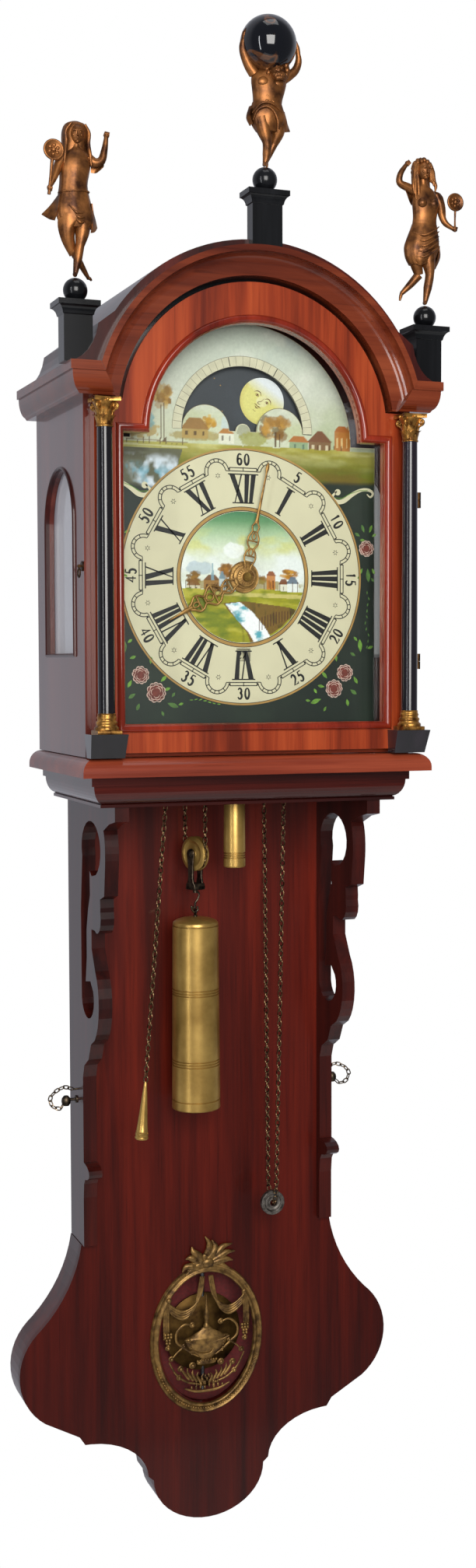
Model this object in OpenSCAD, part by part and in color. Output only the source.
// Wall-hung tail clock with an arched hood, moon dial, chains and weights.
// Millimetres. X to the right seen from the front, -Y out of the wall, +Z up.
// The origin is the hole in the hanging plate, on the wall plane Y = 0.
// "Depth" below always means the distance in front of the wall, -Y.

/* [Hood] */
// Width of the hood over its side boards
hood_w = 357; // [351:1:360]
// Depth of the hood body in front of the wall
hood_d = 195; // [194:0.5:196]
// Thickness of the side boards
board = 12; // [10:1:13]
// Height of the centre of the arch
arch_z = 18; // [17:0.5:19]
// Outer radius of the arched cornice
arch_r = 177; // [175:1:178]
// Side overhang of the straight cornice at its top
cornice_over = 21.5; // [18:0.5:24]
// Radius of the arched side windows
window_r = 57; // [50:1:60]

/* [Door] */
// Width of the door
door_w = 344; // [342:1:345]
// Thickness of the door
door_t = 16.5; // [15:0.5:17]
// Width of the door's glass opening
opening_w = 284; // [280:1:288]
// Radius of the opening's arch
opening_r = 115; // [112:1:117]
// Diameter of the column shafts
column_dia = 17; // [15:0.5:18]

/* [Dial] */
// Height of the dial centre
dial_z = -134; // [-134:1:-134]
// Depth of the dial's painted face
dial_d = 167.7; // [167.5:0.1:168]
// Radius of the moon aperture
moon_r = 67; // [64:1:68]
// Time shown at rest, hours
rest_hour = 8; // [1:1:12]
// Time shown at rest, minutes
rest_minute = 2; // [0:1:59]

/* [Tail] */
// Width of the tail between its brackets
tail_w = 264.6; // [262:0.2:265]
// Depth of the tail box
tail_d = 46; // [46:0.5:48]
// Half width of the two side lobes
lobe_half = 218.5; // [214:0.5:220]
// Thickness of the scroll brackets
bracket_t = 14.9; // [12:0.1:15]

/* [Weights] */
// Diameter of the main weight
weight_dia = 53; // [48:1:54]
// Length of the main weight
weight_len = 212; // [190:1:220]
// Pitch radius of the two chain wheels
chain_wheel_r = 46; // [46:1:46]
// Radius at which the chain runs round the pulley
pulley_r = 16.4; // [16.4:0.1:16.4]
// Thickness of the chain
chain_dia = 3.6; // [3:0.2:3.6]

/* [Hidden] */
$fn = 48;

gap = 0.3;           // between pieces that move past each other
run = 0.05;          // radial clearance of an arbor in its bore
mahogany = "#7a2f18";
deep_mahogany = "#5a1d12";
ebony = "#15161a";
brass = "#b58f3a";
gilt = "#8a5a2b";
iron = "#3c3936";
steel = "#8b8d90";
cream = "#e4dfbf";

// levels of the hood and console
hood_half = hood_w / 2;
hood_foot = -318.5;
shelf_top = -319;
shelf_bottom = -337.5;
moulding_bottom = -370;
cornice_low = 39;
cornice_top = 70;
cornice_half = hood_half + cornice_over;
shelf_half = 190;
shelf_d = 229;
// the arched cornice: inner radius and the depths of its flat band and its front fillet
arch_inner = arch_r - 28;
band_d = 219;
fillet_d = 234;
// door
door_back = hood_d + 0.5;
door_front = door_back + door_t;
door_low = -314;
rail_top = -285;
ear_z = 6;
door_arch_r = arch_inner - 5;
column_x = 165;
column_d = 225.5;
block_top = -294;
capital_low = 7;
capital_top = 36;
hinge_x = 180.5;
hinge_d = 213.5;
// tail outline
tail_low = -1200;
bracket_low = -864.6;
lobe_z = -1007;
lobe_r = 66.5;
lobe_x = lobe_half - lobe_r;
neck_x = 307;
neck_z = -840.6;
neck_r = neck_x - 146;
oval_z = -988;
// movement: [x, z] of each arbor, and the depths of the three plates
time_at = [24, -189];
strike_at = [11, -189];
centre_at = [0, dial_z];
third_at = [-35, -92.9];
escape_at = [0, -68.8];
anchor_at = [0, -28.8];
fly_at = [-20, -137.6];
alarm_at = [-28, -160];
moon_at = [0, 17];
plate_t = 2.5;
back_plate = 55;
middle_plate = 88;
front_plate = 117;
plate_x = [-76, 98];
plate_z = [-250, -12];
strike_strand_d = 75;
time_strand_d = 105;
alarm_d = 128;
alarm_pitch_r = 31.5;
// chains and weights
chain_r = chain_dia / 2;
pulley_at = [-28.5, 90, -431];
pulley_turn = atan2(time_strand_d - strike_strand_d, time_at[0] - strike_at[0]);
weight_top = -500;
ring_at = [61, 90, -828];
ring_r = 13.7;
alarm_weight_top = -363;
alarm_weight_len = 80;
cone_tip = [-100.5, -669];
cone_lean = 4.6;
pendulum_d = 23;
bob_z = -990;
// rest positions of the figures' plinths
side_plinth_x = 189;
plinth_d = 209;

// ---------- helpers ----------
// an outline in X and Z, filled between two depths
module slab(d0, d1) {
    translate([0, -d0, 0]) rotate([90, 0, 0]) linear_extrude(d1 - d0) children();
}
// an outline in depth and Z, filled between two X
module across(x0, x1) {
    translate([x0, 0, 0]) mirror([0, 1, 0]) rotate([90, 0, 90]) linear_extrude(x1 - x0) children();
}
// a rod along Y at [x, z]
module rod(at, d0, d1, r) {
    translate([at[0], -d0, at[1]]) rotate([90, 0, 0]) cylinder(h = d1 - d0, r = r);
}
module both_sides() {
    children();
    mirror([1, 0, 0]) children();
}
function arc(cx, cy, rx, ry, a0, a1, n) =
    [for (i = [0:n]) let (a = a0 + (a1 - a0) * i / n) [cx + rx * cos(a), cy + ry * sin(a)]];
function mirrored(points) = [for (i = [len(points) - 1:-1:0]) [-points[i][0], points[i][1]]];
module box_between(low, high) {
    translate(low) cube(high - low);
}
// a toothed disc: short trapezoid teeth round a plain wheel
module toothed(teeth, pitch_r, depth) {
    step = 360 / teeth;
    root = pitch_r - depth;
    tip = pitch_r + depth * 0.8;
    polygon([for (i = [0:teeth - 1]) for (k = [[0, root], [0.2, root], [0.34, tip], [0.56, tip], [0.7, root]])
        [k[1] * cos((i + k[0]) * step), k[1] * sin((i + k[0]) * step)]]);
}
// a spoked wheel on an arbor along Y
module spoked_wheel(at, d0, d1, teeth, pitch_r, tooth, hub_r) {
    translate([at[0], 0, at[1]]) slab(d0, d1) difference() {
        toothed(teeth, pitch_r, tooth);
        difference() {
            circle(r = pitch_r - tooth - 4);
            circle(r = hub_r);
            for (a = [45, 135]) rotate(a) square([2 * pitch_r, 5], center = true);
        }
    }
}
// a closed half-loop of chain round a wheel along Y
module chain_wrap(at, d, r) {
    translate([at[0], -d, at[1]]) rotate([90, 0, 0]) rotate_extrude(angle = 180) translate([r, 0])
        circle(r = chain_r, $fn = 16);
}
module strand(from, to) {
    v = to - from;
    len_v = norm(v);
    translate(from) rotate([0, acos(v[2] / len_v), atan2(v[1], v[0])]) cylinder(h = len_v, r = chain_r, $fn = 16);
}

// ---------- tail ----------
// right-hand contour of the tail below the brackets, top to tip, set in by "inset"
function tail_contour(inset) = concat(
    arc(neck_x, neck_z, neck_r + inset, neck_r + inset, 188.75, 225, 8),
    arc(lobe_x, lobe_z, lobe_r - inset, lobe_r - inset, 45, -55, 14),
    [[151.6 - inset, -1082.8 + inset], [145.3 - inset, -1092.4 + inset]],
    arc(145, -1143, 73 + inset, 50.5 + inset, 95, 178, 9),
    [[66 - inset, -1146.6 + inset * 0.4]],
    arc(0, -1146.6, 66 - inset, 53.4 - inset, -8, -90, 10));
module tail_outline(top, inset = 0) {
    right = concat([[tail_w / 2 - inset, top], [tail_w / 2 - inset, bracket_low]], tail_contour(inset));
    polygon(concat(right, mirrored(right)));
}
module backboard() {
    color(deep_mahogany) difference() {
        slab(0, 8) tail_outline(40);
        slab(-1, 2) square([62, 42], center = true);
        slab(-1, 9) circle(r = 16);
    }
}
module tail_front() {
    color(mahogany) slab(tail_d - 8, tail_d) difference() {
        tail_outline(shelf_bottom);
        polygon(arc(0, oval_z, 58, 77, 0, 350, 35));
    }
}
module tail_rim() {
    color(deep_mahogany) slab(8, tail_d - 8) difference() {
        tail_outline(shelf_bottom);
        difference() {
            tail_outline(shelf_bottom + 10, 12);
            translate([-200, shelf_bottom - 60]) square([400, 100]);
        }
        translate([-tail_w / 2 + 12, shelf_bottom - 61]) square([tail_w - 24, 100]);
    }
}
// front edge of a bracket, [depth, z] from the top tab down, in named stretches
function bracket_profile(z0) = concat(
    [[0, z0], [190, z0], [190, z0 - 15], [168, z0 - 19]],
    arc(140, z0 - 55, 12, 32, 60, -20, 6),
    [[147, z0 - 96], [131, z0 - 101], [132, z0 - 110]],
    arc(117, z0 - 122, 16, 17, 25, -120, 6),
    [[96, z0 - 137], [96, z0 - 158]],
    [[105, z0 - 173]],
    arc(82, z0 - 216, 41, 48, 48, -55, 8),
    [[90, z0 - 263], [80, z0 - 281], [62, z0 - 291], [56, z0 - 305], [56, z0 - 400]],
    arc(56, z0 - 409, 23, 9, 75, -75, 6),
    [[57, z0 - 424], [55, z0 - 440], [55, bracket_low], [0, bracket_low]]);
module bracket_holes(z0) {
    polygon(concat(arc(96, z0 - 51, 38, 30, 200, -60, 16), [[98, z0 - 80], [90, z0 - 75], [91, z0 - 101],
        [83, z0 - 117], [76, z0 - 140], [76, z0 - 170], [71, z0 - 197], [90, z0 - 194]],
        arc(79, z0 - 214, 25, 22, 30, -170, 12), [[54, z0 - 204], [53, z0 - 120]]));
}
module bracket() {
    across(tail_w / 2, tail_w / 2 + bracket_t) difference() {
        polygon(bracket_profile(moulding_bottom));
        bracket_holes(moulding_bottom);
    }
}
module left_bracket() {
    color(mahogany) mirror([1, 0, 0]) bracket();
}
module right_bracket() {
    color(mahogany) bracket();
}
module velvet_backing() {
    color("#8c1f1a") slab(8, 9) polygon(arc(0, oval_z, 72, 92, 0, 350, 35));
}
module oval_ornament() {
    color(brass) slab(tail_d, tail_d + 3) {
        difference() {
            polygon(arc(0, oval_z, 67, 86, 0, 350, 35));
            polygon(arc(0, oval_z, 57, 76, 0, 350, 35));
        }
        translate([0, oval_z + 84]) polygon([[-26, 0], [-10, 18], [4, 36], [18, 14], [28, 0], [0, -8]]);
        translate([0, oval_z - 10]) {
            polygon([[-7, -66], [7, -66], [5, -30], [26, -6], [24, 12], [8, 20], [3, 80], [-3, 80], [-8, 20],
                [-24, 12], [-26, -6], [-5, -30]]);
            translate([-58, -2]) square([116, 7]);
        }
    }
}
module hook_and_eye() {
    at = [tail_w / 2 + bracket_t, -28, -698];
    translate(at) rotate([0, 90, 0]) cylinder(h = 9, r = 1.6);
    translate(at + [13, 0, 0]) rotate([90, 0, 0]) rotate_extrude() translate([5, 0]) circle(r = 1.5, $fn = 20);
    translate(at + [13.5, 0, -34.9]) cylinder(h = 28.2, r = 2.2);
}
module side_hooks() {
    color(iron) both_sides() hook_and_eye();
}
module hanging_plate() {
    color(steel) difference() {
        slab(0, 2) square([60, 40], center = true);
        slab(-1, 3) circle(r = 5);
    }
}

// ---------- console ----------
// a moulded block: the same edge profile, [projection, z], along the front and both sides
module moulded_block(profile, half, depth) {
    intersection() {
        across(-half, half) polygon(concat([[0, profile[0][1]]],
            [for (p = profile) [depth + p[0], p[1]]], [[0, profile[len(profile) - 1][1]]]));
        translate([0, 1, 0]) slab(1, depth + 1) polygon(concat([for (p = profile) [half + p[0], p[1]]],
            mirrored([for (p = profile) [half + p[0], p[1]]])));
    }
}
module chain_opening() {
    box_between([-95, -142, shelf_bottom - 1], [92, -62, shelf_top + 1]);
}
module console_shelf() {
    nosing = concat([[0, shelf_bottom]], arc(-14, shelf_top - 14, 14, 14, 0, 90, 8));
    color(mahogany) difference() {
        moulded_block(nosing, shelf_half, shelf_d);
        box_between([-tail_w / 2 - gap, -8, shelf_bottom - 1], [tail_w / 2 + gap, 1, shelf_top + 1]);
        box_between([-26, -37, shelf_bottom - 1], [26, -7, shelf_top + 1]);
        chain_opening();
    }
}
module console_moulding() {
    profile = concat([[-12, moulding_bottom], [-12, moulding_bottom + 3]],
        arc(-16, shelf_bottom - 10, 13, 19, -80, 0, 7), [[0, shelf_bottom - 10], [0, shelf_bottom]]);
    color(deep_mahogany) difference() {
        moulded_block(profile, 175, 205);
        box_between([-tail_w / 2 - 8, -180, moulding_bottom - 1], [tail_w / 2 + 8, 1, shelf_bottom + 1]);
    }
}
module seat_board() {
    color("#8a6a45") {
        difference() {
            box_between([-120, -121, -262], [120, -45, -250]);
            box_between([-48, -113, -263], [83, -66, -249]);
        }
        both_sides() box_between([108, -121, shelf_top], [120, -45, -262]);
    }
}

// ---------- movement ----------
arbor_pivot = 1.5;
module movement_frame() {
    arbors_front = [time_at, third_at, escape_at];
    arbors_back = [strike_at, fly_at];
    hammers = [[62, -40]];
    alarm_arbor = [[-14, -36]];
    color(brass) {
        difference() {
            union() for (d = [back_plate, middle_plate, front_plate]) slab(d, d + plate_t)
                translate([plate_x[0], plate_z[0]])
                square([plate_x[1] - plate_x[0], plate_z[1] - plate_z[0]]);
            for (at = arbors_front) rod(at, middle_plate - 1, front_plate + 4, arbor_pivot + run);
            for (at = arbors_back) rod(at, back_plate - 1, middle_plate + 4, arbor_pivot + run);
            for (at = hammers) rod(at, back_plate - 1, middle_plate + 4, 2 + run);
            for (at = alarm_arbor) rod(at, middle_plate - 1, middle_plate + 4, 2 + run);
            rod(centre_at, middle_plate - 1, front_plate + 4, 2.5 + run);
            rod(anchor_at, back_plate - 1, front_plate + 4, 2 + run);
        }
        for (x = [plate_x[0] + 9, plate_x[1] - 9], z = [plate_z[0] + 9, plate_z[1] - 7]) {
            rod([x, z], back_plate + plate_t, middle_plate, 4);
            rod([x, z], middle_plate + plate_t, front_plate, 4);
        }
        rod(alarm_at, front_plate + plate_t, alarm_d + 7, 3);
    }
}
module movement_brackets() {
    color(steel) {
        box_between([-12, -12, anchor_at[1] - 12], [12, -8, anchor_at[1] + 12]);
        rod(anchor_at, 12, 28, 2);
        box_between([-8, -middle_plate - 9, plate_z[1]], [8, -middle_plate + 3, plate_z[1] + 3]);
        translate([0, -85, plate_z[1] + 3]) cylinder(h = 56.5, r = 2.5);
        translate([0, -85, 49]) cylinder(h = 5, r = 5, $fn = 6);
    }
}
module bell() {
    color(brass) translate([0, -85, 8]) rotate_extrude() difference() {
        polygon(concat([[0, 0], [45, 0]], arc(0, 2, 42, 39, 0, 90, 12)));
        polygon(concat([[-1, -1], [42, -1]], arc(0, 2, 39, 36, 0, 90, 12)));
        translate([-1, 30]) square([3.55, 20]);
    }
}
module dial_plate() {
    feet = [[-62, -34], [84, -34], [-46, -240], [84, -236]];
    color(cream) {
        difference() {
            slab(dial_d - 2, dial_d) {
                translate([-150, -290]) square([300, 290 + ear_z]);
                translate([0, ear_z]) circle(r = opening_r + 7, $fn = 96);
            }
            slab(dial_d - 3, dial_d + 1) translate(moon_at) difference() {
                polygon(concat(arc(0, 0, moon_r, moon_r, 0, 180, 40)));
                for (x = [-41, 41]) translate([x, 0]) circle(r = 26);
                circle(r = 8);
            }
            slab(dial_d - 3, dial_d + 1) translate([-7, -221]) square([14, 12]);
            rod(centre_at, dial_d - 3, dial_d + 1, 6);
        }
        for (at = feet) rod(at, front_plate + plate_t, dial_d - 2, 3);
    }
    color(steel) {
        slab(150, 152) translate([-105, moon_at[1] - 6]) square([210, 12]);
        for (x = [-100, 100]) rod([x, moon_at[1]], 152, dial_d - 2, 3);
        rod(moon_at, 152, 162, 3);
    }
}
module moon_disc() {
    color("#26303c") translate([0, 0, moon_at[1]]) slab(158, 159.5) difference() {
        circle(r = moon_r + 4, $fn = 96);
        circle(r = 3 + run);
    }
}
module date_ring() {
    color(cream) translate([0, 0, dial_z]) slab(161.3, 162.8) difference() {
        circle(r = 93, $fn = 96);
        circle(r = 66, $fn = 96);
    }
}

// ---------- hands ----------
hour_angle = (rest_hour + rest_minute / 60) * 30;
minute_angle = rest_minute * 6;
// an open pierced hand from hub to tip, pointing up, with "lobes" at [distance, half width]
module hand_outline(lobes, tip, hub_r, bore_r) {
    difference() {
        union() {
            circle(r = hub_r);
            for (b = lobes) translate([0, b[0]]) circle(r = b[1]);
            polygon([[-2.4, 0], [2.4, 0], [1, tip], [-1, tip]]);
        }
        for (b = lobes) translate([0, b[0]]) both_sides() translate([b[1] * 0.45, 0]) circle(r = b[1] * 0.3, $fn = 24);
        circle(r = bore_r);
    }
}
module hour_hand() {
    color(brass) {
        translate([0, 0, dial_z]) slab(171.6, 172.8) rotate(-hour_angle)
            hand_outline([[28, 8], [44, 10], [60, 8]], 95, 11, 2.5 + run);
        difference() {
            rod(centre_at, front_plate + plate_t + gap, 172.8, 4.6);
            rod(centre_at, front_plate + 2, 174, 2.5 + run);
        }
    }
}
module alarm_disc() {
    color(brass) translate([0, 0, dial_z]) slab(169.2, 170.4) difference() {
        circle(r = 16.5);
        circle(r = 4.6 + run);
    }
}
module minute_hand() {
    color(brass) translate([0, 0, dial_z]) slab(175.4, 176.6) rotate(-minute_angle)
        hand_outline([[30, 7], [44, 8]], 122, 8, 2.5);
}

// ---------- wheels ----------
module arbor(at, d0, d1, r) {
    rod(at, d0, d1, r);
}
module centre_wheel() {
    color(brass) {
        difference() {
            spoked_wheel(centre_at, 110, 112, 64, 48, 1.4, 8);
            rod(centre_at, 109, 113, 3);
        }
        translate([0, 0, dial_z]) slab(94.5, 101.5) rotate(41) toothed(8, 5.7, 1.1);
    }
    color(steel) {
        difference() {
            rod(centre_at, middle_plate, 180, 2.5);
            rod(centre_at, 94.4, 101.6, 4.6);
        }
        rod(centre_at, 109, 113, 3);
        rod(centre_at, 94.5, 101.5, 4);
        rod(centre_at, 176.9, 180, 4.5);
    }
}
// a great wheel with its chain wheel on one arbor
module great_wheel(at, wheel_d, sprocket_d, d0, d1) {
    spoked_wheel(at, wheel_d, wheel_d + 2.5, 72, 54, 1.4, 12);
    translate([at[0], -sprocket_d, at[1]]) rotate([90, 0, 0]) {
        rotate_extrude($fn = 96) polygon([[0, -4], [chain_wheel_r + 3, -4], [chain_wheel_r + 3, -2.6],
            [chain_wheel_r - 2.6, -1.2], [chain_wheel_r - 2.6, 1.2], [chain_wheel_r + 3, 2.6],
            [chain_wheel_r + 3, 4], [0, 4]]);
    }
    rod(at, min(wheel_d, sprocket_d - 4), max(wheel_d + 2.5, sprocket_d + 4), 10);
    rod(at, d0, d1, arbor_pivot);
}
module time_wheel() {
    color(brass) great_wheel(time_at, 96.5, time_strand_d, middle_plate, front_plate + plate_t);
}
module strike_wheel() {
    color(brass) {
        great_wheel(strike_at, 62, strike_strand_d, back_plate, middle_plate + plate_t);
        for (a = [15:45:330]) translate([strike_at[0], 0, strike_at[1]]) rotate([0, a, 0])
            rod([36, 0], 64.5, 69, 1.6);
    }
}
module third_wheel() {
    color(brass) {
        spoked_wheel(third_at, 98.5, 100.5, 60, 37.5, 1.2, 7);
        translate([third_at[0], 0, third_at[1]]) slab(107, 114.5) rotate(27) toothed(8, 5.7, 1.1);
        rod(third_at, 92, 114.5, 3.4);
        rod(third_at, middle_plate, front_plate + plate_t, arbor_pivot);
    }
}
module escape_wheel() {
    tooth = 360 / 30;
    color(brass) {
        translate([escape_at[0], 0, escape_at[1]]) slab(104, 106) difference() {
            polygon([for (i = [0:29]) for (k = [[0, 19.5], [0.12, 24], [0.62, 19.5]])
                [k[1] * cos((i + k[0]) * tooth), k[1] * sin((i + k[0]) * tooth)]]);
            difference() {
                circle(r = 16);
                circle(r = 6);
                for (a = [0, 90]) rotate(a) square([60, 4], center = true);
            }
        }
        translate([escape_at[0], 0, escape_at[1]]) slab(96, 103) rotate(8.5) toothed(8, 4.7, 0.9);
        rod(escape_at, 92, 106, 3);
        rod(escape_at, middle_plate, front_plate + plate_t, arbor_pivot);
    }
}
module anchor() {
    color(steel) {
        translate([anchor_at[0], 0, anchor_at[1]]) slab(103.6, 106.4) difference() {
            polygon([[-23.5, -28], [-27, -23], [-19, -7], [-6, 6], [6, 6], [19, -7], [27, -23], [23.5, -28],
                [21.5, -22], [13, -8], [0, -2], [-13, -8], [-21.5, -22]]);
            circle(r = 1);
        }
        rod(anchor_at, 31, front_plate + plate_t, 2);
        rod(anchor_at, 103.6, 106.4, 5);
        box_between([-3, -33.5, anchor_at[1] - 132], [3, -31, anchor_at[1] + 5]);
        both_sides() box_between([3.4, -33.5, anchor_at[1] - 132], [5.4, -17, anchor_at[1] - 128]);
        box_between([-5.4, -33.5, anchor_at[1] - 132], [5.4, -31, anchor_at[1] - 128]);
    }
}
module pendulum_rod() {
    color(steel) {
        difference() {
            union() {
                rod(anchor_at, 18, 27, 6);
                translate([0, -pendulum_d, bob_z - 68]) cylinder(h = anchor_at[1] - bob_z + 64, r = 2.5);
            }
            rod(anchor_at, 11, 29, 2 + run);
        }
    }
}
module pendulum_bob() {
    color(brass) {
        difference() {
            translate([0, -pendulum_d, bob_z]) rotate([90, 0, 0]) rotate_extrude($fn = 96)
                polygon(concat(arc(0, -121.6, 130.6, 130.6, 90, 69.85, 10),
                    arc(0, 121.6, 130.6, 130.6, -69.85, -90, 10)));
            translate([0, -pendulum_d, bob_z - 80]) cylinder(h = 160, r = 2.5 + run);
        }
        translate([0, -pendulum_d, bob_z - 62]) difference() {
            cylinder(h = 7, r = 8, $fn = 24);
            translate([0, 0, -1]) cylinder(h = 9, r = 2.5 + run);
        }
    }
}
module fly() {
    color(brass) {
        translate([fly_at[0], 0, fly_at[1]]) slab(60, 67) rotate(19) toothed(8, 5.7, 1.1);
        rod(fly_at, back_plate, middle_plate + plate_t, arbor_pivot);
        translate([fly_at[0], 0, fly_at[1]]) slab(80.5, 86.5) square([1.2, 44], center = true);
        rod(fly_at, 60, 86.5, 3);
    }
}
module strike_hammer() {
    pivot = [62, -40];
    color(steel) {
        rod(pivot, back_plate, middle_plate + plate_t, 2);
        rod(pivot, 82, 88 - gap, 5);
        slab(82.5, 86.5) polygon([[60, -40], [64, -40], [61, 10], [57, 10]]);
        translate([59.5, -84.5, 14]) sphere(r = 7);
    }
}
module alarm_wheel() {
    color(brass) difference() {
        union() {
            translate([alarm_at[0], -alarm_d, alarm_at[1]]) rotate([90, 0, 0]) rotate_extrude($fn = 96)
                polygon([[0, -3.6], [alarm_pitch_r + 1.4, -3.6], [alarm_pitch_r + 1.4, -2.7],
                    [alarm_pitch_r - 2.6, -1.3], [alarm_pitch_r - 2.6, 1.3], [alarm_pitch_r + 1.4, 2.7],
                    [alarm_pitch_r + 1.4, 3.6], [0, 3.6]]);
            rod(alarm_at, alarm_d, alarm_d + 6, 8);
        }
        rod(alarm_at, front_plate, alarm_d + 10, 3 + run);
    }
}
module alarm_hammer() {
    pivot = [-14, -36];
    color(steel) {
        rod(pivot, middle_plate, 97, 2);
        slab(92, 96) polygon([[-17, -38], [-12, -38], [-14, 14], [-18, 14]]);
        translate([-16, -94, 16]) sphere(r = 5);
    }
}

// ---------- weights and chains ----------
// a turned weight from its bottom face up, with grooves at the given heights
module turned_weight(r_low, r_high, len, grooves, dome) {
    rotate_extrude($fn = 64) difference() {
        polygon(concat([[0, 0], [r_low, 0]], arc(0, len - dome, r_high, dome, 0, 90, 6)));
        for (g = grooves) translate([r_low - 0.6, g]) square([3, 1.2]);
    }
}
module main_weight() {
    color(brass) translate([pulley_at[0], -pulley_at[1], weight_top - weight_len])
        turned_weight(weight_dia / 2, weight_dia / 2 - 1.5, weight_len, [12, 48, 52, 127, 131, 135], 9);
}
// the hook between the main weight and the pulley
module weight_hook() {
    translate([pulley_at[0], -pulley_at[1], weight_top]) {
        cylinder(h = 7, r = 1.6);
        translate([0, 0, 11]) rotate([90, 0, 0]) rotate_extrude() translate([4.5, 0]) circle(r = 1.5, $fn = 20);
        translate([0, 0, 15.6]) cylinder(h = 14, r = 1.6);
    }
}
module pulley_place() {
    translate([pulley_at[0], -pulley_at[1], pulley_at[2]]) rotate([0, 0, -pulley_turn]) children();
}
module pulley_frame() {
    color(iron) {
        weight_hook();
        pulley_place() {
            for (y = [-1, 1]) translate([0, y * 6.5, 0]) rotate([90, 0, 0]) translate([0, 0, -1])
                linear_extrude(2) {
                    circle(r = 7);
                    translate([-4, -32]) square([8, 32]);
                }
            box_between([-7, -7.5, -39.4], [7, 7.5, -32]);
            rotate([90, 0, 0]) translate([0, 0, -7.5]) cylinder(h = 15, r = 2);
        }
    }
}
module pulley_sheave() {
    color(brass) pulley_place() rotate([90, 0, 0]) difference() {
        rotate_extrude($fn = 64) polygon([[0, -4.5], [14, -5], [19, -3.4], [19, -2.6], [14, -2], [14, 2],
            [19, 2.6], [19, 3.4], [14, 5], [0, 4.5]]);
        translate([0, 0, -6]) cylinder(h = 12, r = 2 + run);
    }
}
module alarm_weight() {
    color(brass) {
        translate([alarm_at[0] + alarm_pitch_r, -alarm_d, alarm_weight_top - alarm_weight_len])
            turned_weight(11.9, 11.6, alarm_weight_len, [12, 16], 5);
        translate([alarm_at[0] + alarm_pitch_r, -alarm_d, alarm_weight_top]) cylinder(h = 4, r = 1.8);
    }
}
module cone_weight() {
    color(brass) translate([cone_tip[0], -alarm_d, cone_tip[1]]) rotate([0, cone_lean, 0]) translate([0, 0, -62])
        rotate_extrude() polygon([[0, 0], [7, 0], [7.6, 2], [6.9, 4], [6.9, 8], [6.2, 10], [1.8, 58], [0, 62]]);
}
module ring_weight() {
    color("#55504a") translate([ring_at[0], -ring_at[1], ring_at[2]]) rotate([90, 0, 0]) translate([0, 0, -3.4])
        rotate_extrude($fn = 64) difference() {
            translate([4, 0]) square([ring_r - 4, 6.8]);
            translate([ring_r, -0.5]) rotate(45) square(2.4, center = true);
            translate([ring_r, 7.3]) rotate(45) square(2.4, center = true);
        }
}
time_left = time_at[0] - chain_wheel_r;
time_right = time_at[0] + chain_wheel_r;
strike_left = strike_at[0] - chain_wheel_r;
strike_right = strike_at[0] + chain_wheel_r;
module weight_chain() {
    color(iron) {
        strand([time_left, -time_strand_d, pulley_at[2]], [time_left, -time_strand_d, time_at[1]]);
        strand([strike_left, -strike_strand_d, pulley_at[2]], [strike_left, -strike_strand_d, strike_at[1]]);
        pulley_place() rotate([-90, 0, 0]) rotate_extrude(angle = 180) translate([pulley_r, 0])
            circle(r = chain_r, $fn = 16);
        chain_wrap(time_at, time_strand_d, chain_wheel_r);
        chain_wrap(strike_at, strike_strand_d, chain_wheel_r);
    }
}
// a short rounded bend between two straight stretches
module bend(at) {
    translate(at) sphere(r = chain_r + 0.05, $fn = 32);
}
module ring_chain() {
    loop_r = 9;
    low = ring_at[2] + 0.9 + loop_r;
    front_low = [ring_at[0], -ring_at[1] - loop_r, low];
    rear_low = [ring_at[0], -ring_at[1] + loop_r, low];
    front_high = [time_right, -time_strand_d, shelf_bottom];
    rear_high = [strike_right, -strike_strand_d, shelf_bottom];
    color(iron) {
        strand(front_low, front_high);
        strand(rear_low, rear_high);
        strand(front_high, [time_right, -time_strand_d, time_at[1]]);
        strand(rear_high, [strike_right, -strike_strand_d, strike_at[1]]);
        for (p = [front_low, rear_low, front_high, rear_high]) bend(p);
        translate([ring_at[0], -ring_at[1], low]) rotate([90, 0, 90]) rotate_extrude(angle = -180)
            translate([loop_r, 0]) circle(r = chain_r, $fn = 16);
    }
}
module alarm_chain() {
    x = alarm_at[0] + alarm_pitch_r;
    color(iron) {
        strand([x, -alarm_d, alarm_weight_top + 4], [x, -alarm_d, alarm_at[1]]);
        chain_wrap(alarm_at, alarm_d, alarm_pitch_r);
    }
}
module cone_chain() {
    lift = (alarm_at[1] - cone_tip[1] - 4) / cos(cone_lean);
    color(iron) strand([cone_tip[0], -alarm_d, cone_tip[1]],
        [cone_tip[0] + lift * sin(cone_lean), -alarm_d, cone_tip[1] + lift * cos(cone_lean)]);
}

// ---------- hood ----------
window_d = 99;
window_spring = -80;
window_low = -214;
module window_outline(grow) {
    translate([window_d, window_spring]) circle(r = window_r + grow, $fn = 64);
    translate([window_d - window_r - grow, window_low - grow])
        square([2 * (window_r + grow), window_spring - window_low + grow]);
}
module hood_side() {
    difference() {
        across(hood_half - board, hood_half) translate([0.5, hood_foot])
            square([hood_d - 0.5, cornice_low - hood_foot + 20]);
        across(hood_half - board - 1, hood_half + 1) window_outline(0);
        across(hood_half - board - 1, hood_half - board + 4) window_outline(4);
    }
}
module hood_sides() {
    color(mahogany) both_sides() hood_side();
}
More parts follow.
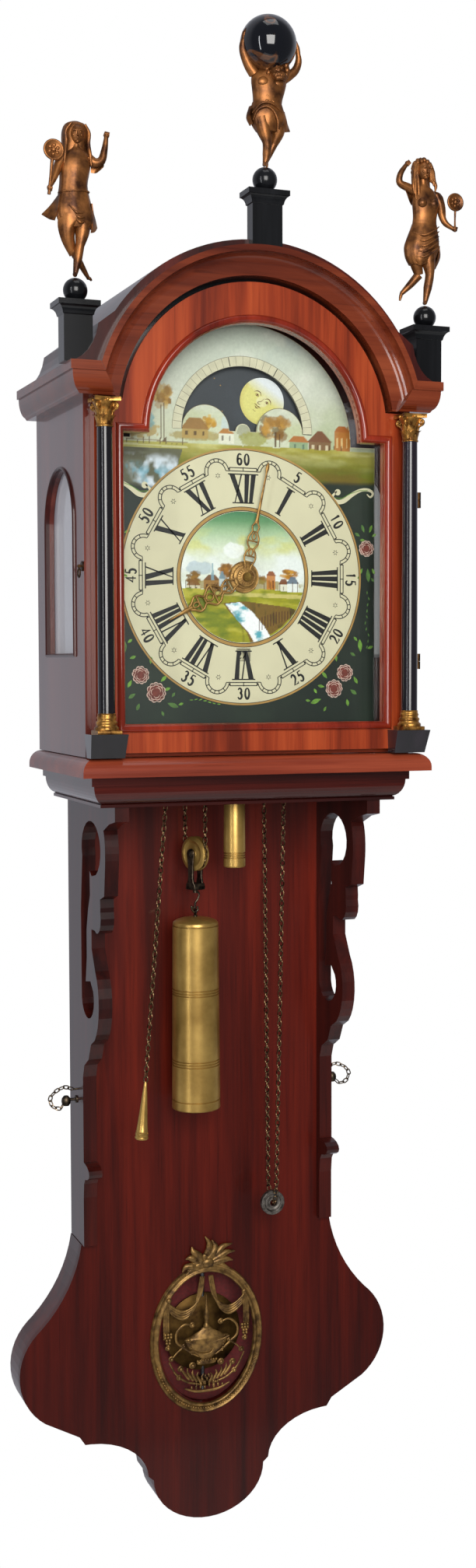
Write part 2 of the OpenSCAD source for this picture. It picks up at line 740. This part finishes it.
// the arch's outline between the side boards
module hood_arch() {
    intersection() {
        translate([0, arch_z]) circle(r = arch_r - 4, $fn = 128);
        translate([-hood_half + board, arch_z - 200]) square([hood_w - 2 * board, 400]);
    }
}
module hood_front() {
    color(mahogany) {
        slab(hood_d - 12, hood_d) difference() {
            union() {
                hood_arch();
                translate([-hood_half + board, arch_z - 40]) square([hood_w - 2 * board, 80]);
            }
            translate([0, arch_z]) circle(r = door_arch_r - 8, $fn = 128);
            translate([-door_w / 2 + 8, hood_foot - 1]) square([door_w - 16, arch_z - hood_foot + 1]);
            translate([-200, arch_z - 220]) square([400, 200]);
        }
        slab(hood_d - 12, hood_d) translate([-hood_half + board, hood_foot])
            square([hood_w - 2 * board, 26]);
        slab(0.5, 12) difference() {
            hood_arch();
            translate([0, arch_z]) circle(r = arch_r - 34, $fn = 128);
            translate([-200, arch_z - 220]) square([400, 260]);
        }
    }
}
module side_glass() {
    color("#dfe9ee", 0.35) both_sides() across(hood_half - board + 0.5, hood_half - board + 3.5)
        window_outline(3.5);
}
// the barrel roof sweeps out to the cornice at each side
module roof_outline() {
    r = arch_r + 7;
    right = concat([[cornice_half, cornice_top]], arc(cornice_half + 2, cornice_top + 46, 33, 46, -95, -170, 6),
        arc(0, arch_z, r, r, 34, 90, 18));
    polygon(concat(right, mirrored(right)));
}
module hood_roof() {
    color(deep_mahogany) difference() {
        slab(0.5, band_d + 3) roof_outline();
        slab(-1, band_d + 4) translate([0, arch_z]) circle(r = arch_r - 4 + 0.02, $fn = 128);
        slab(hood_d - 0.02, band_d + 4) translate([0, arch_z]) circle(r = arch_r + 0.02, $fn = 128);
    }
}
cornice_mitre = [[153, cornice_low], [170, cornice_top]];
module straight_cornice() {
    profile = concat([[-cornice_over + 11, cornice_low]],
        arc(-cornice_over + 11, cornice_low + 22, 8.5, 20, -80, 0, 7),
        [[0, cornice_low + 22], [0, cornice_top]]);
    difference() {
        moulded_block(profile, cornice_half, fillet_d - 1);
        box_between([-hood_half, -hood_d, cornice_low - 1], [hood_half, 1, cornice_top + 1]);
        slab(hood_d - 1, fillet_d + 1) polygon(concat(
            [[cornice_mitre[0][0], cornice_low - 1], cornice_mitre[0], cornice_mitre[1],
             [cornice_mitre[1][0], cornice_top + 1]],
            mirrored([[cornice_mitre[0][0], cornice_low - 1], cornice_mitre[0], cornice_mitre[1],
             [cornice_mitre[1][0], cornice_top + 1]])));
        slab(-1, 0.5) square(500, center = true);
    }
}
module arched_cornice() {
    intersection() {
        translate([0, 0, arch_z]) rotate([90, 0, 0]) rotate_extrude($fn = 128) polygon(concat(
            [[arch_inner, hood_d], [arch_inner, band_d], [arch_inner + 11, band_d]],
            arc(arch_inner + 11, band_d + 13, 11, 13, -80, 0, 7),
            [[arch_inner + 22, fillet_d], [arch_r, fillet_d], [arch_r, hood_d]]));
        slab(hood_d - 1, fillet_d + 1) polygon([[cornice_mitre[0][0], cornice_low], cornice_mitre[1],
            [250, cornice_top], [250, 300], [-250, 300], [-250, cornice_top], [-cornice_mitre[1][0], cornice_top],
            [-cornice_mitre[0][0], cornice_low]]);
    }
}
module arch_cornice() {
    color(mahogany) {
        straight_cornice();
        arched_cornice();
    }
}
// an ebonised plinth with a flared cap and a ball on it
function cap_flare(half, cap_half) = concat([[half, 0]],
    arc(cap_half + 1, -1, cap_half - half, 10, 170, 95, 5), [[cap_half, 10.5], [cap_half, 14]]);
module plinth(half, deep, h, cap, ball_r) {
    wide_flare = cap_flare(half, half + cap);
    deep_flare = cap_flare(deep, deep + cap);
    translate([-half, -deep, 0]) cube([2 * half, 2 * deep, h - 14]);
    translate([0, 0, h - 14]) intersection() {
        rotate([90, 0, 0]) translate([0, 0, -deep - cap]) linear_extrude(2 * (deep + cap))
            polygon(concat(wide_flare, mirrored(wide_flare)));
        rotate([90, 0, 90]) translate([0, 0, -half - cap]) linear_extrude(2 * (half + cap))
            polygon(concat(deep_flare, mirrored(deep_flare)));
    }
    translate([0, 0, h + ball_r - 1]) sphere(r = ball_r);
}
side_plinth_h = 59;
centre_plinth_base = arch_z + arch_r + 7.05;
centre_plinth_h = 249 - centre_plinth_base;
centre_plinth_at = [3, -225.5];
// the globe leans a little off the plinth, over the bearer's shoulder
globe_x = 7;
module finial_plinths() {
    color(ebony) {
        both_sides() difference() {
            translate([side_plinth_x, -plinth_d, cornice_top]) plinth(14.5, 11, side_plinth_h, 6.5, 12);
            slab(0, 300) roof_outline();
            slab(0, 300) translate([0, arch_z]) circle(r = arch_r + 7.05, $fn = 128);
        }
        difference() {
            translate([centre_plinth_at[0], centre_plinth_at[1], centre_plinth_base - 9])
                plinth(16, 8, centre_plinth_h + 9, 6, 12.5);
            slab(0, band_d + 3) translate([0, arch_z]) circle(r = arch_r + 7.05, $fn = 128);
            slab(band_d + 2.9, 300) translate([0, arch_z]) circle(r = arch_r + 0.05, $fn = 128);
        }
    }
}
// a plain standing figure: leg, skirt, torso, head and two arms
module figure(h, arm_out, arm_up) {
    rotate_extrude($fn = 32) polygon([[0, 0], [3.5, 0], [5, h * 0.2], [13, h * 0.34], [11, h * 0.52],
        [15, h * 0.72], [12, h * 0.8], [5, h * 0.83], [0, h * 0.83]]);
    translate([0, 0, h * 0.9]) sphere(r = h * 0.085, $fn = 32);
    for (s = [-1, 1]) translate([s * 9, 0, h * 0.76]) rotate([0, s * arm_out, 0]) cylinder(h = h * 0.2, r = 4, $fn = 24);
    translate([9 * arm_up, 0, h * 0.76]) rotate([0, 55 * arm_up, 0]) cylinder(h = h * 0.22, r = 4, $fn = 24);
}
side_ball_top = cornice_top + side_plinth_h + 2 * 12 - 1;
centre_ball_top = 249 - 2 + 2 + 2 * 12.5 - 1;
module left_figure() {
    color(gilt) translate([-side_plinth_x, -plinth_d, side_ball_top - 0.3]) figure(147, 115, 1);
}
module right_figure() {
    color(gilt) translate([side_plinth_x, -plinth_d, side_ball_top - 0.3]) figure(147, 115, -1);
}
globe_r = 28.5;
globe_z = 394;
module atlas_figure() {
    color(gilt) translate([globe_x, centre_plinth_at[1], centre_ball_top - 0.3]) {
        rotate_extrude($fn = 32) polygon([[0, 0], [3.5, 0], [5, 20], [13, 40], [11, 55], [15, 74], [12, 84],
            [5, 88], [0, 88]]);
        for (s = [-1, 1]) translate([s * 14, 0, 74]) rotate([0, s * 25, 0]) cylinder(h = 32, r = 4, $fn = 24);
        translate([0, 0, 84]) cylinder(h = globe_z - globe_r - centre_ball_top - 83.8, r = 9, $fn = 32);
    }
}
module globe() {
    color(ebony) translate([globe_x, centre_plinth_at[1], globe_z]) sphere(r = globe_r, $fn = 64);
}

// ---------- door ----------
module opening_outline(grow) {
    translate([-opening_w / 2 - grow, rail_top - grow]) square([opening_w + 2 * grow, ear_z - rail_top + grow]);
    translate([0, ear_z]) intersection() {
        circle(r = opening_r + grow, $fn = 96);
        translate([-200, -1]) square([400, 200]);
    }
}
module door_frame() {
    color(mahogany) difference() {
        slab(door_back, door_front) {
            translate([-door_w / 2, door_low]) square([door_w, cornice_low - 1.5 - door_low]);
            intersection() {
                translate([0, arch_z]) circle(r = door_arch_r, $fn = 128);
                translate([-200, arch_z]) square([400, 200]);
            }
        }
        slab(door_back - 1, door_front + 1) opening_outline(0);
        slab(door_back - 1, door_back + 5) opening_outline(6);
        slab(door_back - 1, door_front + 1) both_sides() polygon([[165, cornice_low], [180, cornice_low],
            [180, 30], [172.2, 30]]);
    }
}
module door_glass() {
    color("#dfe9ee", 0.3) slab(door_back + 1.8, door_back + 4.8) opening_outline(5.5);
}
// the two column shafts and the blocks they stand on
module columns() {
    color(ebony) both_sides() {
        translate([column_x, -column_d, block_top + 20])
            cylinder(h = capital_low - block_top - 20, r1 = column_dia / 2, r2 = column_dia / 2 - 1);
        intersection() {
            across(146, 184) polygon([[door_front, block_top], [238, block_top], [228, block_top - 24],
                [door_front, block_top - 24]]);
            slab(200, 240) polygon([[146, block_top], [184, block_top], [182, block_top - 24],
                [147, block_top - 24]]);
        }
    }
}
module column_brasses() {
    color(brass) both_sides() translate([column_x, -column_d, 0]) {
        translate([-12.5, -12.5, block_top]) cube([25, 25, 4]);
        translate([0, 0, block_top + 4]) rotate_extrude() polygon([[0, 0], [12, 0], [12.4, 3], [10, 5], [10, 8],
            [10.6, 10], [9.2, 12], [9.4, 14], [8.6, 16], [0, 16]]);
        translate([0, 0, capital_low]) rotate_extrude() polygon([[0, 0], [9.5, 0], [9.5, 2], [8.6, 3], [9.5, 12],
            [13, 23], [13, 25], [0, 25]]);
        translate([-14, -13, capital_top - 4]) cube([28, 26, 3.6]);
    }
}
hinge_levels = [-230, -60];
knuckle_h = 8;
module knuckle(z) {
    translate([hinge_x, -hinge_d, z]) cylinder(h = knuckle_h, r = 2.6);
}
ring_eye = [-hood_half, 189, -127];
module hood_hardware() {
    color(brass) {
        for (z = hinge_levels) {
            knuckle(z);
            box_between([hood_half, -hinge_d, z], [hood_half + 1.5, -184, z + knuckle_h]);
            translate([hinge_x, -hinge_d, z]) cylinder(h = 2 * knuckle_h + gap, r = 1.2);
        }
        translate([ring_eye[0] - 1.2, -ring_eye[1], ring_eye[2]]) rotate([0, 90, 0]) cylinder(h = 1.2, r = 5);
        box_between([ring_eye[0] - 4.9, -ring_eye[1] - 3.4, ring_eye[2] - 1.05],
            [ring_eye[0] - 1, -ring_eye[1] - 2, ring_eye[2] + 1.05]);
        box_between([ring_eye[0] - 4.9, -ring_eye[1] + 2, ring_eye[2] - 1.05],
            [ring_eye[0] - 1, -ring_eye[1] + 3.4, ring_eye[2] + 1.05]);
        rod([ring_eye[0] - 3.8, ring_eye[2]], ring_eye[1] - 3, ring_eye[1] + 3, 0.7);
    }
}
module door_hardware() {
    color(brass) for (z = hinge_levels) difference() {
        union() {
            knuckle(z + knuckle_h + gap);
            box_between([door_w / 2, -door_front + 1, z + knuckle_h + gap],
                [door_w / 2 + 1.5, -door_back - 1, z + 2 * knuckle_h + gap]);
            box_between([door_w / 2, -door_front + 0.5, z + knuckle_h + gap],
                [hinge_x, -door_front + 2, z + 2 * knuckle_h + gap]);
        }
        translate([hinge_x, -hinge_d, z]) cylinder(h = 60, r = 1.2 + run);
    }
}
module pull_ring() {
    color(brass) {
        translate([ring_eye[0] - 3.8, -ring_eye[1], ring_eye[2] - 6.7]) rotate([0, 90, 0])
            rotate_extrude() translate([4.4, 0]) circle(r = 0.8, $fn = 20);
        difference() {
            rod([ring_eye[0] - 3.8, ring_eye[2]], ring_eye[1] - 1.6, ring_eye[1] + 1.6, 1.7);
            rod([ring_eye[0] - 3.8, ring_eye[2]], ring_eye[1] - 3, ring_eye[1] + 3, 0.7 + run);
        }
    }
}

backboard();
tail_front();
tail_rim();
left_bracket();
right_bracket();
console_shelf();
console_moulding();
seat_board();
hanging_plate();
velvet_backing();
oval_ornament();
side_hooks();
movement_frame();
movement_brackets();
bell();
dial_plate();
moon_disc();
date_ring();
hour_hand();
alarm_disc();
minute_hand();
centre_wheel();
time_wheel();
third_wheel();
escape_wheel();
anchor();
pendulum_rod();
pendulum_bob();
strike_wheel();
fly();
strike_hammer();
alarm_wheel();
alarm_hammer();
main_weight();
pulley_frame();
pulley_sheave();
alarm_weight();
cone_weight();
ring_weight();
weight_chain();
ring_chain();
alarm_chain();
cone_chain();
hood_sides();
hood_front();
side_glass();
hood_roof();
arch_cornice();
finial_plinths();
left_figure();
right_figure();
atlas_figure();
globe();
door_frame();
door_glass();
columns();
column_brasses();
hood_hardware();
door_hardware();
pull_ring();
